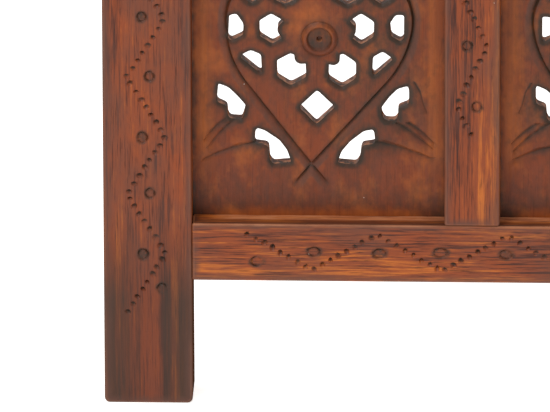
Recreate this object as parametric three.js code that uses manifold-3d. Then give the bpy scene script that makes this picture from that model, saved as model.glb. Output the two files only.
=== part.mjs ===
// One leaf of a carved wooden lattice screen: two stiles that run down as feet, six rails,
// five short muntins and ten pierced panels held in grooves. Millimetres, +Z up, front is -Y.
// The origin is on the hinge edge of the left stile, halfway up and in the middle of its thickness.
import * as THREE from "three";
import { mergeVertices } from "three/addons/utils/BufferGeometryUtils.js";
import Module from "manifold-3d";

const wasm = await Module();
wasm.setup();

// ---- driving dimensions ----
const LEAF_WIDTH = 400;
const ROWS = 5;
const FRAME_THICKNESS = 28;
const STILE_WIDTH = 48;
const MUNTIN_WIDTH = 30;
const FOOT_HEIGHT = 72;
const RAIL_HEIGHT = 33;
const TOP_RAIL_HEIGHT = 48;
const OPENING_HEIGHT = 212;
const STILE_CORNER_RADIUS = 2.5;
const STILE_CORNER_STEPS = 3;

const PANEL_THICKNESS = 8;
const PANEL_RECESS = 12; // frame front to panel front
const TONGUE = 5.5; // how far a panel sits in its grooves

const TENON_THICKNESS = 10;
const TENON_LENGTH = 24;
const TENON_SHOULDER = 8;
const STUB_LENGTH = 9;
const STUB_SHOULDER = 7;
const GAP = 0.3; // between pieces that touch

// The pierced medallion, measured from the foot of the opening and from its upright centre line.
const CROSSING_HEIGHT = 29; // where the two outlines cross, from the foot and from the head alike
const MEDALLION_HALF_WIDTH = 51;
const WIDEST_HEIGHT = 113;
const FLANK_SLOPE = THREE.MathUtils.degToRad(51);
const SHOULDER_RADIUS = 30;
const RIM = 2.2; // wood left between the outline and a hole
const FLOWER_HEIGHT = 103;
const BOSS_RADIUS = 10.4;
const BOSS_RISE = 1.2;
const BOSS_SIDES = 12;
const HEX_WIDTH = 15.6;
const HEX_HEIGHT = 19;
const PETAL_RADIUS = 4.8;
const PETAL_SIDES = 8;

// ---- derived sizes ----
const OPENING_WIDTH = (LEAF_WIDTH - 2 * STILE_WIDTH - MUNTIN_WIDTH) / 2;
const ROW_PITCH = OPENING_HEIGHT + RAIL_HEIGHT;
const LEAF_HEIGHT = FOOT_HEIGHT + ROWS * ROW_PITCH + TOP_RAIL_HEIGHT;
const FOOT_LEVEL = -LEAF_HEIGHT / 2;
const FIRST_OPENING = FOOT_LEVEL + FOOT_HEIGHT + RAIL_HEIGHT;
const FRONT = -FRAME_THICKNESS / 2;
const PANEL_FRONT = FRONT + PANEL_RECESS;
const openingFoot = (row) => FIRST_OPENING + row * ROW_PITCH;
const openingLeft = (column) => STILE_WIDTH + column * (OPENING_WIDTH + MUNTIN_WIDTH);

// ---- solids ----
function solid(geometry) {
  const bare = geometry.clone();
  bare.deleteAttribute("normal");
  bare.deleteAttribute("uv");
  const merged = mergeVertices(bare, 1e-5);
  return new wasm.Manifold(
    new wasm.Mesh({
      numProp: 3,
      vertProperties: Float32Array.from(merged.attributes.position.array),
      triVerts: Uint32Array.from(merged.index.array),
    }),
  );
}

function geometryOf(manifold) {
  const mesh = manifold.getMesh();
  const geometry = new THREE.BufferGeometry();
  geometry.setAttribute("position", new THREE.BufferAttribute(mesh.vertProperties, 3));
  geometry.setIndex(new THREE.BufferAttribute(mesh.triVerts, 1));
  return geometry;
}

// A block between two corners, grown on every side by spare.
function block(low, high, spare = 0) {
  const from = new THREE.Vector3(...low).subScalar(spare);
  const to = new THREE.Vector3(...high).addScalar(spare);
  const size = to.clone().sub(from);
  const middle = from.add(to).multiplyScalar(0.5);
  return new THREE.BoxGeometry(size.x, size.y, size.z).translate(middle.x, middle.y, middle.z);
}

// A prism whose outline lies in the XZ plane, from the front level to depth behind it.
function prism(shape, front, depth, curveSegments = 1) {
  const geometry = new THREE.ExtrudeGeometry(shape, { depth, bevelEnabled: false, curveSegments });
  return geometry.rotateX(Math.PI / 2).translate(0, front + depth, 0);
}

function polygon(points) {
  return new THREE.Shape(points.map(([u, w]) => new THREE.Vector2(u, w)));
}

// ---- joinery ----
const tenonHalf = TENON_THICKNESS / 2;
const throughX = [STILE_WIDTH - TENON_LENGTH, LEAF_WIDTH - STILE_WIDTH + TENON_LENGTH];

// Each rail's level and height, from the bottom rail up.
const rails = Array.from({ length: ROWS + 1 }, (_, index) => ({
  name: index === 0 ? "bottom_rail" : index === ROWS ? "top_rail" : `cross_rail_${index}`,
  foot: openingFoot(index) - RAIL_HEIGHT,
  height: index === ROWS ? TOP_RAIL_HEIGHT : RAIL_HEIGHT,
}));

function railTenons(rail) {
  const low = [throughX[0], -tenonHalf, rail.foot + TENON_SHOULDER];
  const high = [throughX[1], tenonHalf, rail.foot + rail.height - TENON_SHOULDER];
  return [low, high];
}

const muntins = Array.from({ length: ROWS }, (_, row) => ({
  name: `muntin_${row + 1}`,
  foot: openingFoot(row),
}));
const muntinLeft = STILE_WIDTH + OPENING_WIDTH;

function muntinStubs(muntin) {
  const low = [muntinLeft + STUB_SHOULDER, -tenonHalf, muntin.foot - STUB_LENGTH];
  const high = [
    muntinLeft + MUNTIN_WIDTH - STUB_SHOULDER,
    tenonHalf,
    muntin.foot + OPENING_HEIGHT + STUB_LENGTH,
  ];
  return [low, high];
}

function panelBlock(column, row) {
  const left = openingLeft(column);
  const foot = openingFoot(row);
  const low = [left - TONGUE, PANEL_FRONT, foot - TONGUE];
  const high = [
    left + OPENING_WIDTH + TONGUE,
    PANEL_FRONT + PANEL_THICKNESS,
    foot + OPENING_HEIGHT + TONGUE,
  ];
  return [low, high];
}

const panelPlaces = [];
for (let row = 0; row < ROWS; row += 1) {
  for (let column = 0; column < 2; column += 1) panelPlaces.push([column, row]);
}

// What each frame member makes room for.
const grooves = panelPlaces.map(([column, row]) => solid(block(...panelBlock(column, row), GAP)));
const mortises = rails.map((rail) => solid(block(...railTenons(rail), GAP)));
const stubMortises = muntins.map((muntin) => solid(block(...muntinStubs(muntin), GAP)));

function cutAll(body, cutters) {
  return cutters.reduce((left, cutter) => left.subtract(cutter), body);
}

function stile(left) {
  const r = STILE_CORNER_RADIUS;
  const [x0, x1] = [left, left + STILE_WIDTH];
  const [z0, z1] = [FOOT_LEVEL, FOOT_LEVEL + LEAF_HEIGHT];
  const shape = new THREE.Shape();
  shape.moveTo(x0 + r, z0);
  shape.lineTo(x1 - r, z0);
  shape.absarc(x1 - r, z0 + r, r, -Math.PI / 2, 0);
  shape.lineTo(x1, z1 - r);
  shape.absarc(x1 - r, z1 - r, r, 0, Math.PI / 2);
  shape.lineTo(x0 + r, z1);
  shape.absarc(x0 + r, z1 - r, r, Math.PI / 2, Math.PI);
  shape.lineTo(x0, z0 + r);
  shape.absarc(x0 + r, z0 + r, r, Math.PI, 1.5 * Math.PI);
  const board = solid(prism(shape, FRONT, FRAME_THICKNESS, STILE_CORNER_STEPS));
  return cutAll(board, [...grooves, ...mortises]);
}

function railSolid(rail) {
  const low = [STILE_WIDTH + GAP, FRONT, rail.foot];
  const high = [LEAF_WIDTH - STILE_WIDTH - GAP, -FRONT, rail.foot + rail.height];
  const body = solid(block(low, high)).add(solid(block(...railTenons(rail))));
  return cutAll(body, [...grooves, ...stubMortises]);
}

function muntinSolid(muntin) {
  const low = [muntinLeft, FRONT, muntin.foot + GAP];
  const high = [muntinLeft + MUNTIN_WIDTH, -FRONT, muntin.foot + OPENING_HEIGHT - GAP];
  const body = solid(block(low, high)).add(solid(block(...muntinStubs(muntin))));
  return cutAll(body, grooves);
}

// ---- pierced panels ----
// The medallion's outline, drawn in by inset. Its right half runs from the lower crossing to the
// upper one, and its left half mirrors that.
function medallionShape(inset) {
  const half = MEDALLION_HALF_WIDTH;
  const rise = WIDEST_HEIGHT - CROSSING_HEIGHT;
  const flankRadius =
    (rise * Math.cos(FLANK_SLOPE) - half * Math.sin(FLANK_SLOPE)) / (1 - Math.sin(FLANK_SLOPE));
  const headHeight = OPENING_HEIGHT - CROSSING_HEIGHT;
  const shoulderCentre = half - SHOULDER_RADIUS;
  const toHead = Math.hypot(shoulderCentre, headHeight - WIDEST_HEIGHT);
  const headTurn =
    Math.atan2(headHeight - WIDEST_HEIGHT, -shoulderCentre) - Math.acos(SHOULDER_RADIUS / toHead);
  const arcs = [
    { centre: half - flankRadius, radius: flankRadius - inset, from: FLANK_SLOPE - Math.PI / 2, to: 0 },
    { centre: shoulderCentre, radius: SHOULDER_RADIUS - inset, from: 0, to: headTurn },
  ];
  const right = [[0, CROSSING_HEIGHT + inset / Math.cos(FLANK_SLOPE)]];
  for (const arc of arcs) {
    for (let step = 0; step <= 4; step += 1) {
      const angle = THREE.MathUtils.lerp(arc.from, arc.to, step / 4);
      right.push([
        arc.centre + arc.radius * Math.cos(angle),
        WIDEST_HEIGHT + arc.radius * Math.sin(angle),
      ]);
    }
  }
  right.push([0, headHeight - inset / Math.sin(headTurn)]);
  const left = right.slice(1, -1).reverse().map(([u, w]) => [-u, w]);
  return polygon([...right, ...left]);
}

// A six-sided hole that stands on a point.
function hexagon(u, w, width = HEX_WIDTH, height = HEX_HEIGHT) {
  const [a, b, c] = [width / 2, height / 2, height / 4];
  return polygon([
    [u, w - b],
    [u + a, w - c],
    [u + a, w + c],
    [u, w + b],
    [u - a, w + c],
    [u - a, w - c],
  ]);
}

function diamond(u, w, width, height) {
  return polygon([
    [u, w - height / 2],
    [u + width / 2, w],
    [u, w + height / 2],
    [u - width / 2, w],
  ]);
}

// A stepped hole beside the medallion. Its straight side follows the flank, its notch faces the
// corner of the panel. side is 1 to the right, up is 1 in the lower half and -1 in the upper.
function spandrelHole(u, w, width, height, side, up) {
  const outline = [
    [0, 0],
    [0.49, 0],
    [0.65, 0.42],
    [1, 0.51],
    [1, 0.96],
    [0.79, 1],
    [0.16, 0.48],
  ];
  const points = outline.map(([a, b]) => [side * (u + a * width), w + up * b * height]);
  return polygon(side * up > 0 ? points : points.reverse());
}

function petal(angle, reach) {
  const shape = new THREE.Shape();
  const distance = reach - PETAL_RADIUS;
  shape.absarc(
    distance * Math.cos(angle),
    FLOWER_HEIGHT + distance * Math.sin(angle),
    PETAL_RADIUS,
    0,
    2 * Math.PI,
  );
  return polygon(
    shape
      .getPoints(PETAL_SIDES)
      .slice(0, PETAL_SIDES)
      .map((point) => [point.x, point.y]),
  );
}

const LATTICE = [
  { height: 84.5, across: [13.4] },
  { height: 107.8, across: [24.3, 43.6] },
  { height: 131, across: [16.8, 36.2] },
];
const SIDE_HOLE = { across: 35.2, height: 87.5, width: 11.5, tall: 14 };
const END_HOLE = { width: 18, tall: 19, fromEnd: 62 };
const SPANDREL = [
  { across: 12.6, height: 29.2, width: 20.6, tall: 20.6 },
  { across: 37.2, height: 55, width: 15.5, tall: 21.4 },
];
const PETALS = [
  { angle: 18, reach: 22.5 },
  { angle: 162, reach: 22.5 },
  { angle: 234, reach: 19.5 },
  { angle: 306, reach: 19.5 },
];

const throughCut = (shape) =>
  solid(prism(shape, PANEL_FRONT - BOSS_RISE - 1, PANEL_THICKNESS + BOSS_RISE + 2));

function piercings() {
  const inside = [];
  for (const { height, across } of LATTICE) {
    for (const u of across) inside.push(hexagon(u, height), hexagon(-u, height));
  }
  const { across, height, width, tall } = SIDE_HOLE;
  inside.push(hexagon(across, height, width, tall), hexagon(-across, height, width, tall));
  inside.push(diamond(0, END_HOLE.fromEnd, END_HOLE.width, END_HOLE.tall));
  inside.push(diamond(0, OPENING_HEIGHT - END_HOLE.fromEnd + 4, END_HOLE.width, END_HOLE.tall));
  const field = throughCut(medallionShape(RIM));
  const flower = PETALS.map(({ angle, reach }) =>
    throughCut(petal(THREE.MathUtils.degToRad(angle), reach)),
  );
  const holes = inside.map((shape) => cutAll(throughCut(shape).intersect(field), flower));
  for (const spot of SPANDREL) {
    for (const side of [-1, 1]) {
      for (const up of [1, -1]) {
        const w = up > 0 ? spot.height : OPENING_HEIGHT - spot.height;
        const shape = spandrelHole(spot.across, w, spot.width, spot.tall, side, up);
        holes.push(throughCut(shape));
      }
    }
  }
  return holes;
}

function bossSolid() {
  const disc = new THREE.CylinderGeometry(BOSS_RADIUS - 1, BOSS_RADIUS, BOSS_RISE + 1, BOSS_SIDES);
  return solid(disc.rotateX(Math.PI / 2).translate(0, PANEL_FRONT - (BOSS_RISE - 1) / 2, FLOWER_HEIGHT));
}

function panelSolid(column, row) {
  const left = openingLeft(column) + OPENING_WIDTH / 2;
  const [low, high] = panelBlock(column, row);
  const board = solid(block(low, high));
  const place = [left, 0, openingFoot(row)];
  const carved = board.add(boss.translate(place));
  return cutAll(carved, holes.map((hole) => hole.translate(place)));
}

const boss = bossSolid();
const holes = piercings();

// ---- finishes ----
const wood = (color) => new THREE.MeshStandardMaterial({ color, roughness: 0.42, metalness: 0 });
const FRAME_COLOUR = 0x8a5139;
const PANEL_COLOUR = 0x7f4730;

// ---- the leaf ----
const leaf = new THREE.Group();

function place(name, manifold, colour) {
  const mesh = new THREE.Mesh(geometryOf(manifold), wood(colour));
  mesh.name = name;
  leaf.add(mesh);
}

place("left_stile", stile(0), FRAME_COLOUR);
place("right_stile", stile(LEAF_WIDTH - STILE_WIDTH), FRAME_COLOUR);
for (const rail of rails) place(rail.name, railSolid(rail), FRAME_COLOUR);
for (const muntin of muntins) place(muntin.name, muntinSolid(muntin), FRAME_COLOUR);
for (const [column, row] of panelPlaces) {
  const side = column === 0 ? "left" : "right";
  place(`${side}_panel_${row + 1}`, panelSolid(column, row), PANEL_COLOUR);
}

export default leaf;
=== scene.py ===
"""One leaf of a carved wooden lattice screen: a punched and gouged frame round pierced, carved panels."""

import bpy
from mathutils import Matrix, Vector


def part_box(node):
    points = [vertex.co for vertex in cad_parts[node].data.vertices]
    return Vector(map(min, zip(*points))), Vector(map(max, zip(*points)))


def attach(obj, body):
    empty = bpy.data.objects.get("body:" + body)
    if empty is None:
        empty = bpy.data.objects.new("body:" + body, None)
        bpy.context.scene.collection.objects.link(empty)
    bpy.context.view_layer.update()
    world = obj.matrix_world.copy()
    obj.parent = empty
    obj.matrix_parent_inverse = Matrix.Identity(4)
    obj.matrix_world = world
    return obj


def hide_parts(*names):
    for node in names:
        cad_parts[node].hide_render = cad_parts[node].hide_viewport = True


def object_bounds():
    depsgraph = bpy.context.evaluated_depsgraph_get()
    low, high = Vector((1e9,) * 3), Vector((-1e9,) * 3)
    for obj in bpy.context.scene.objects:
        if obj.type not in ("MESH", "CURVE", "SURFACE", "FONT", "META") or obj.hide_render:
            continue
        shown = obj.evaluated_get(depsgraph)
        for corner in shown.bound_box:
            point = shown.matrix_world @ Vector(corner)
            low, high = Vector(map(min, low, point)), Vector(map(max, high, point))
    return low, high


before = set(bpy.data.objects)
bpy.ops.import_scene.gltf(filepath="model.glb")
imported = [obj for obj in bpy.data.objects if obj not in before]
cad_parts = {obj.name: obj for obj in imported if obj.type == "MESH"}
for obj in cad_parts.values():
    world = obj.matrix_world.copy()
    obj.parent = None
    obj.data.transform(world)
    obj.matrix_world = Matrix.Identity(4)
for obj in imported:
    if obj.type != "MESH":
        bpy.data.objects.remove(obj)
CAD_BOX = [list(corner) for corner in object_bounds()]

import itertools
import math
import random

import bmesh
import bpy
import numpy as np
from mathutils import Quaternion, Vector, geometry

bl_info = {
    "name": "Carved lattice screen leaf",
    "version": (1, 0, 0),
    "blender": (4, 5, 0),
    "location": "3D View > Sidebar > Screen",
    "description": "Finishes a carved wooden lattice screen leaf round its packed frame",
    "category": "Add Mesh",
}

MM = 0.001
BODY = "root"
RAILS = ["bottom_rail", *sorted(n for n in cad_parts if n.startswith("cross_rail")), "top_rail"]
MUNTINS = sorted(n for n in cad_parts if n.startswith("muntin"))
PANELS = sorted(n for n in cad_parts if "_panel_" in n)
# The finer rails and muntins stop this far from their neighbours, too little for light to show.
SHOULDER_GAP = 0.02 * MM
# Uncarved length at both ends of a stile, and of a muntin.
PLAIN_END = 53 * MM
PANEL_THICKNESS = 8 * MM
# How deep a panel sits in the grooves of the frame.
PANEL_HIDDEN = 5.5 * MM
# First seed of each kind of member. Each member adds its own number.
STILE_SEED, RAIL_SEED, MUNTIN_SEED, PANEL_SEED = 11, 31, 51, 71


# -------- settings


def length(name, description, default):
    return bpy.props.FloatProperty(name=name, description=description, default=default, unit="LENGTH")


def colour(name, description, default):
    return bpy.props.StringProperty(name=name, description=description, default=default)


def degrees(name, description, default):
    turn = math.radians(default)
    return bpy.props.FloatProperty(name=name, description=description, default=turn, subtype="ANGLE")


class FrameCarving(bpy.types.PropertyGroup):
    """Sizes of the eased edges and of the tool marks on stiles, rails and muntins."""

    arris: length("Arris", "Radius that the long edges are eased to", 1.3 * MM)
    foot_corner: length("Foot corner", "Radius of the corners at the ends of the stiles", 2.8 * MM)
    rubbed_and_lit: length("Rubbed band", "Width of the greyed band along the arrises", 4.4 * MM)
    stile_turn: length("Stile half turn", "Length of one leg of the zigzag on a stile", 34.0 * MM)
    rail_turn: length("Rail half turn", "Length of one leg of the zigzag on a rail", 35.2 * MM)
    muntin_turn: length("Muntin half turn", "Length of one leg of the zigzag on a muntin", 35.0 * MM)
    swing: length("Swing", "How far the zigzag swings to each side", 10.5 * MM)
    muntin_swing: length("Muntin swing", "How far the zigzag swings on the narrower muntins", 8.5 * MM)
    spacing: length("Chip spacing", "Distance between gouge chips along the zigzag", 5.2 * MM)
    chip_length: length("Chip length", "Length of one gouge chip, across the run", 4.0 * MM)
    chip_width: length("Chip width", "Width of one gouge chip, along the run", 3.1 * MM)
    chip_depth: length("Chip depth", "Depth of one gouge chip", 1.5 * MM)
    ring_radius: length("Ring radius", "Radius of the punched rings", 2.6 * MM)
    ring_width: length("Ring width", "Width of the groove of a punched ring", 1.7 * MM)
    ring_depth: length("Ring depth", "Depth of the groove of a punched ring", 0.8 * MM)


class PanelCarving(bpy.types.PropertyGroup):
    """Sizes of the carving and piercing on a panel, measured from the foot of its opening."""

    crossing: length("Crossing", "Height at which the two outlines cross", 29.5 * MM)
    half_width: length("Half width", "Half the width of the medallion", 51 * MM)
    widest: length("Widest", "Height at which the medallion is widest", 113 * MM)
    shoulder: length("Shoulder radius", "Radius of the medallion's upper shoulders", 30 * MM)
    tail: length("Tail", "How far an outline runs on past the crossing", 16.5 * MM)
    groove_depth: length("Groove depth", "Depth of the V-cut along the outline", 1.7 * MM)
    flower: length("Flower height", "Height of the boss in the middle of the flower", 102.2 * MM)
    bevel_width: length("Bevel width", "Width of the knife bevel round each hole", 1.7 * MM)
    bevel_depth: length("Bevel depth", "Depth of the knife bevel round each hole", 1.1 * MM)
    halo: length("Halo", "How far the dark stain spreads past a hole's bevel", 3.2 * MM)


class WoodColours(bpy.types.PropertyGroup):
    """Colours of the stained hardwood, as sRGB hex values."""

    dark: colour("Dark grain", "Darkest streaks of the stained wood", "#3d180b")
    middle: colour("Middle", "Main red-brown of the stained wood", "#803b1a")
    # The light grain colour also paints the panels' rubbed margins and a painted reflection along the rails.
    light: colour("Light grain", "Orange streaks where the stain has rubbed thin", "#b05f22")
    # The aged grey also paints a highlight on the lit outer wall of the medallion's groove.
    deep: colour("Deep stain", "Red-brown of the panels, which took more stain", "#56220b")
    # The foot colour is painted shade: it darkens the stiles towards the floor.
    aged_and_lit: colour("Aged", "Purplish grey-brown of handled wood", "#55352a")
    foot: colour("Foot", "Dull red-brown of the feet", "#642c1b")
    # This grey-black also paints shade: along the panels' edges and corners, in the chips, on the ledges'
    # fronts and at the feet.
    stain_and_shade: colour("Stain", "Grey-black stain left in cuts and round holes", "#28231b")
    # The worn tan also paints highlights: on arrises that face up, on the ledges' backs, on hole walls and in
    # the boss's pit.
    worn_and_lit: colour("Worn edge", "Tan wood where edges and the ledge are rubbed", "#bb7c56")
    dust: colour("Dust", "Pale specks caught in the wax", "#d8cfc4")
    floor: colour("Floor", "Plain pale floor", "#f4f3f1")


class StageSettings(bpy.types.PropertyGroup):
    """Camera and light."""

    azimuth: degrees("Azimuth", "Camera turn to the right of the front", 2.0)
    elevation: degrees("Elevation", "Camera height as an angle", 21.3)
    roll: degrees("Roll", "Turn of the camera about its own axis", 0.2)
    lens: bpy.props.FloatProperty(name="Lens", description="Focal length", default=1000.0, unit="CAMERA")
    view_width: length("View width", "Width of what the camera sees at the leaf", 298.1 * MM)
    aim_across: length("Aim across", "Camera target from the leaf's left edge", 93.2 * MM)
    aim_up: length("Aim up", "Camera target from the leaf's feet", 115.9 * MM)


# -------- meshes


def turned(point, angle):
    """A plane vector turned about the origin."""
    cos, sin = math.cos(angle), math.sin(angle)
    return Vector((point[0] * cos - point[1] * sin, point[0] * sin + point[1] * cos))


def ellipse(centre, half_length, half_width, angle, count):
    """Points round an ellipse whose long axis is turned by an angle."""
    steps = [2 * math.pi * i / count for i in range(count)]
    return [centre + turned((half_length * math.cos(a), half_width * math.sin(a)), angle) for a in steps]


def jog(rng, reach):
    """A small slip of the hand in any direction."""
    return Vector((rng.uniform(-reach, reach), rng.uniform(-reach, reach)))


def rectangle(low, high):
    """The four corners, from the lower left."""
    return [low, Vector((high.x, low.y)), high, Vector((low.x, high.y))]


class Line:
    """A run of points that a face's triangles follow, with how deep it is cut and how dark its stain and
    painted shade are.
    """

    def __init__(self, points, depth=0.0, stain_and_shade=0.0, closed=True, worn_and_lit=0.0):
        self.points = points
        self.depths = depth if isinstance(depth, list) else [depth] * len(points)
        self.stains_and_shades = stain_and_shade if isinstance(stain_and_shade, list) else [stain_and_shade] * len(points)
        self.closed = closed
        self.worn_and_lit = worn_and_lit


def triangulate(lines, loose=()):
    """Fills the area that the first line encloses.

    Returns the points, the triangles, and for each point its line and its place in that line.
    """
    points, edges, owner = [], [], []
    for line in lines:
        first, count = len(points), len(line.points)
        points += [Vector(p[:2]) for p in line.points]
        owner += [(line, i) for i in range(count)]
        ends = count if line.closed else count - 1
        edges += [(first + i, first + (i + 1) % count) for i in range(ends)]
    points += [Vector(p[:2]) for p in loose]
    owner += [None] * (len(points) - len(owner))
    made = geometry.delaunay_2d_cdt(points, edges, [], 0, 1e-7, True)
    return made[0], made[2], [owner[ids[0]] if ids else None for ids in made[3]]


def object_of(name, bm, material):
    """The built mesh as an object in the scene, placed at the frame's origin."""
    mesh = bpy.data.meshes.new(name)
    bm.to_mesh(mesh)
    bm.free()
    mesh.materials.append(material)
    made = bpy.data.objects.new(name, mesh)
    bpy.context.scene.collection.objects.link(made)
    return made


def finish_piece(name, bm, material, smooth_angle=None):
    """Makes the piece's object and ties it to its frame node."""
    bmesh.ops.recalc_face_normals(bm, faces=bm.faces)
    piece = object_of(f"{name}_carved", bm, material)
    if smooth_angle is not None:
        piece.data.shade_smooth()
        piece.data.set_sharp_from_angle(angle=smooth_angle)
    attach(piece, BODY)
    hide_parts(name)


def eased_block(low, high, sizes, corner):
    """A board with eased arrises and greyed bands beside them. Its front and back are filled in later."""
    bm = bmesh.new()
    worn_and_lit = bm.verts.layers.float.new("arris")
    bm.verts.layers.float.new("stain_and_shade")
    verts = bmesh.ops.create_cube(bm, size=1.0)["verts"]
    bmesh.ops.scale(bm, vec=high - low, verts=verts)
    bmesh.ops.translate(bm, vec=(high + low) / 2, verts=verts)
    if corner > sizes.arris:
        through = [e for e in bm.edges if abs(e.verts[0].co.y - e.verts[1].co.y) > 1 * MM]
        bmesh.ops.bevel(bm, geom=through, offset=corner, affect="EDGES", segments=4, profile=0.5, material=-1)
        eased = [e for e in bm.edges if abs(e.verts[0].co.y - e.verts[1].co.y) < 1 * MM]
    else:
        eased = list(bm.edges)
    bmesh.ops.bevel(bm, geom=eased, offset=sizes.arris, affect="EDGES", segments=3, profile=0.5, material=-1)
    sides = [f for f in bm.faces if abs(f.normal.y) < 0.001 and f.calc_area() > 200 * MM * MM]
    for vert in bm.verts:
        vert[worn_and_lit] = 1.0
    bmesh.ops.inset_individual(bm, faces=sides, thickness=sizes.rubbed_and_lit, depth=0.0)
    flat = {v for f in sides for v in f.verts}
    for vert in flat:
        vert[worn_and_lit] = 0.0
    return bm


def finish_member(node, bm, sizes, marks, wood):
    """Cuts the marks into a member's front, closes its back and makes the piece."""
    fill_face(bm, -1, sizes, marks)
    fill_face(bm, 1, sizes)
    finish_piece(node, bm, wood)


def fill_face(bm, side, sizes, marks=()):
    """Swaps the board's flat front (side -1) or back (side 1) for one cut with the marks."""
    face = max((f for f in bm.faces if f.normal.y * side > 0.999), key=lambda f: f.calc_area())
    level = face.verts[0].co.y
    outline = [Vector((v.co.x, v.co.z)) for v in face.verts]
    bmesh.ops.delete(bm, geom=[face], context="FACES_ONLY")
    low = Vector((min(p.x for p in outline), min(p.y for p in outline)))
    high = Vector((max(p.x for p in outline), max(p.y for p in outline)))
    low += Vector((sizes.rubbed_and_lit, sizes.rubbed_and_lit))
    high -= Vector((sizes.rubbed_and_lit, sizes.rubbed_and_lit))
    band = resampled(rectangle(low, high), 12 * MM)
    lines = [Line(outline, worn_and_lit=1.0), Line(band), *(line for mark in marks for line in mark)]
    points, triangles, sources = triangulate(lines)
    stain_and_shade, worn_and_lit = bm.verts.layers.float["stain_and_shade"], bm.verts.layers.float["arris"]
    verts = []
    for point, source in zip(points, sources):
        line, index = source or (lines[1], 0)
        vert = bm.verts.new((point.x, level - side * line.depths[index], point.y))
        vert[stain_and_shade] = line.stains_and_shades[index]
        vert[worn_and_lit] = line.worn_and_lit
        verts.append(vert)
    for triangle in triangles:
        bm.faces.new([verts[i] for i in triangle])
    bmesh.ops.remove_doubles(bm, verts=bm.verts, dist=0.001 * MM)


# -------- tool marks on the frame


def gouge_chip(point, heading, sizes, rng):
    """A short gouge cut across the run, with a steep upper wall and an easy lower one. The upper wall carries
    dark stain and painted shade; the lower one is stained lighter, for wear and for the light that falls on
    it.
    """
    turn = math.atan2(heading.y, heading.x) + math.pi / 2 + rng.uniform(-0.5, 0.5)
    grow = rng.uniform(0.78, 1.18)
    half_length, half_width = sizes.chip_length / 2 * grow, sizes.chip_width / 2 * grow
    depth = sizes.chip_depth * rng.uniform(0.7, 1.1)
    rim = ellipse(point, half_length, half_width, turn, 8)
    rim = [point + (p - point) * rng.uniform(0.9, 1.15) for p in rim]
    deep = point + Vector((rng.uniform(-0.1, 0.1) * half_width, 0.2 * half_width))
    inner = ellipse(deep, 0.52 * half_length, 0.5 * half_width, turn, 6)
    dark = rng.uniform(0.75, 1.0)
    # Painted shade: the chip's upper part is stained darker, its lower part lighter, where light falls and
    # wear rubs.
    stains_and_shades = [dark if p.y > deep.y - 0.1 * half_width else 0.4 * dark for p in inner]
    return [Line(rim), Line(inner, 0.6 * depth, stains_and_shades), Line([deep], depth, dark, closed=False)]


def punched_ring(point, stretch, dark, sizes, rng, slant=0.0):
    """A ring struck with a hollow punch, drawn out along the grain by stretch, and deeper on one side."""
    count = 18
    radius = sizes.ring_radius * rng.uniform(0.93, 1.07)
    half = sizes.ring_width / 2
    tilt, deep_side = rng.uniform(-0.15, 0.15), rng.uniform(1.5, 3.5)
    turns = [2 * math.pi * i / count for i in range(count)]
    uneven = []
    for a in turns:
        depth = 0.85 - 0.6 * slant + (0.2 + slant) * math.cos(a - deep_side)
        depth += 0.15 * math.cos(3 * a + 5 * tilt)
        uneven.append(min(1.0, max(0.0, depth + rng.uniform(-0.18, 0.18))))
    middle_stain = [dark * rng.uniform(0.5, 1.3) for _ in turns]

    def loop(r):
        smooth = ellipse(point, r * stretch.x, r * stretch.y, tilt, count)
        return [p + jog(rng, 0.17) * MM for p in smooth]

    return [
        Line(loop(radius + half + 1.1 * MM)),
        Line(loop(radius + half), 0.0, [0.2 + 0.4 * u for u in uneven]),
        Line(loop(radius), [sizes.ring_depth * u for u in uneven], [0.25 + 0.6 * u for u in uneven]),
        Line(loop(radius - half), 0.0, [max(m, 0.35 * u) for m, u in zip(middle_stain, uneven)]),
        Line([point], 0.0, dark, closed=False),
    ]


def zigzag(start, end, side, middle, turn, swing):
    """Bends of a zigzag along a member: how far along, how far across, and which side each is on."""
    bends = []
    along = start
    while along <= end:
        bends.append((along, middle + side * swing, side))
        along += turn
        side = -side
    return bends


def zigzag_marks(bends, upright, sizes, rng, ring_offset, ring_dark, limits):
    """Gouge chips along the zigzag, within limits, and a punched ring inside each bend."""

    def place(along, across):
        return Vector((across, along)) if upright else Vector((along, across))

    marks = []
    ahead = 0.0
    for first, last in zip(bends, bends[1:]):
        start, run = place(*first[:2]), place(*last[:2]) - place(*first[:2])
        heading = run.normalized()
        while ahead < run.length:
            spot = start + heading * ahead + jog(rng, 0.35) * MM
            if limits[0] - 1 * MM <= (spot.y if upright else spot.x) <= limits[1]:
                marks.append(gouge_chip(spot, heading, sizes, rng))
            ahead += sizes.spacing * rng.uniform(0.94, 1.06)
        ahead -= run.length
    stretch = Vector((0.97, 1.05)) if upright else Vector((1.3, 0.92))
    middle = (bends[0][1] + bends[1][1]) / 2
    for along, _, side in bends:
        if limits[0] - 1 * MM <= along <= limits[1]:
            centre = place(along + rng.uniform(-1.2, 1.2) * MM, middle - side * ring_offset)
            dark = ring_dark if side > 0 else 0.3 * ring_dark
            marks.append(punched_ring(centre, stretch, dark, sizes, rng))
    return marks


def with_slipped(marks, bends, ring):
    """The marks with the first bend's ring taken out, and one put in that was struck out of place."""
    return marks[: -len(bends)] + marks[1 - len(bends) :] + [ring]


# -------- panel carving


def eased(points, cut=1.3 * MM):
    """A closed outline with its corners knocked off, as a knife leaves them."""
    result = []
    for before, p, after in zip(points[-1:] + points[:-1], points, points[1:] + points[:1]):
        near = p + (before - p).normalized() * min(cut, (before - p).length * 0.3)
        far = p + (after - p).normalized() * min(cut, (after - p).length * 0.3)
        result += [near, (near + far + 2 * p) / 4, far]
    return result


def hand_cut(points, rng, slip=0.45 * MM):
    """An outline as a knife leaves it: each corner a little out of place and knocked off."""
    return resampled(eased([p + jog(rng, slip) for p in points]), 0.8 * MM)


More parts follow.
